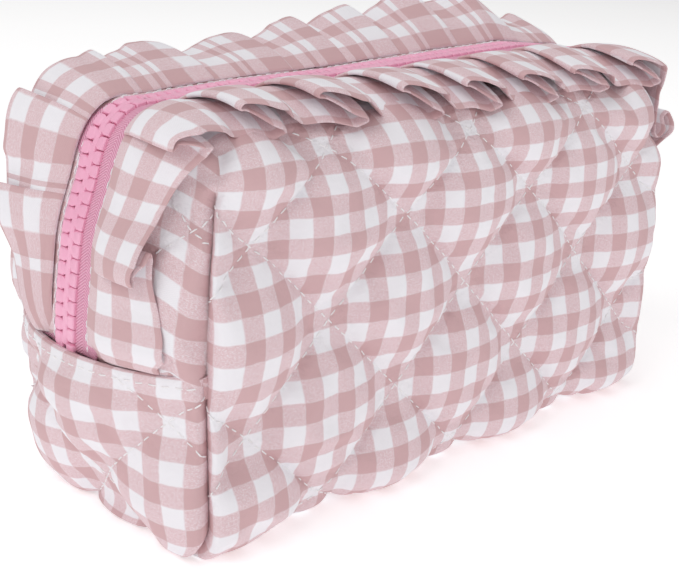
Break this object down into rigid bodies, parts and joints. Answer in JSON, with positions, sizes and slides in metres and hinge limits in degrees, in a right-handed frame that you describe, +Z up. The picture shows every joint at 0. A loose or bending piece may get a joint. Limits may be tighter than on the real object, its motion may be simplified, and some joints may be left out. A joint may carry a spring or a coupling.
{
  "type": "makeup bag",
  "caption": "Boxy quilted gingham makeup bag with a zip over its top and down both ends, and a pleated frill on each side of the zip.",
  "frame": {"origin": "centre of the base, on the surface that the bag stands on", "axes": "+X along the bag towards the end where the closed zip's slider is, -Y out of the front wall, +Z up"},
  "size_m": [0.2632, 0.086, 0.142],
  "materials": {
    "gingham": "soft cotton",
    "frill_gingham": "soft cotton",
    "lining": "soft cotton",
    "wadding": "polyester wadding",
    "binding": "woven tape",
    "zip_tape": "woven tape",
    "zip_teeth": "moulded",
    "slider": "gloss paint"
  },
  "bodies": {
    "base": {"base_cover": "gingham", "left_end_panel": "gingham", "right_end_panel": "gingham", "base_wadding": "wadding", "base_lining": "lining", "seam_bindings": "binding", "tape_tails": "zip_tape"},
    "front_half": {"front_cover": "gingham", "front_wadding": "wadding", "front_lining": "lining", "front_zip_hem": "gingham", "front_zip_tape": "zip_tape", "front_zip_teeth": "zip_teeth", "front_zip_stops": "zip_teeth", "front_frill": "frill_gingham"},
    "back_half": {"back_cover": "gingham", "back_wadding": "wadding", "back_lining": "lining", "back_zip_hem": "gingham", "back_zip_tape": "zip_tape", "back_zip_teeth": "zip_teeth", "back_zip_stops": "zip_teeth", "back_frill": "frill_gingham"},
    "slider": {"slider_body": "slider", "slider_bridge": "slider", "slider_lock": "slider"},
    "pull": {"pull_tab": "slider"}
  },
  "joints": [
    {"name": "front_opening", "type": "hinge", "parent": "base", "child": "front_half", "pos_m": [0, -0.043, 0.054], "axis": [1, 0, 0], "range_deg": [0, 20]},
    {"name": "back_opening", "type": "hinge", "parent": "base", "child": "back_half", "pos_m": [0, 0.043, 0.054], "axis": [-1, 0, 0], "range_deg": [0, 20]},
    {"name": "zip_slide", "type": "slide", "parent": "front_half", "child": "slider", "axis": [0, 0, 1], "range_m": [0, 0.03]},
    {"name": "pull_swing", "type": "hinge", "parent": "slider", "child": "pull", "pos_m": [0.11665, 0, 0.0657], "axis": [0, -1, 0], "range_deg": [0, 170]}
  ]
}
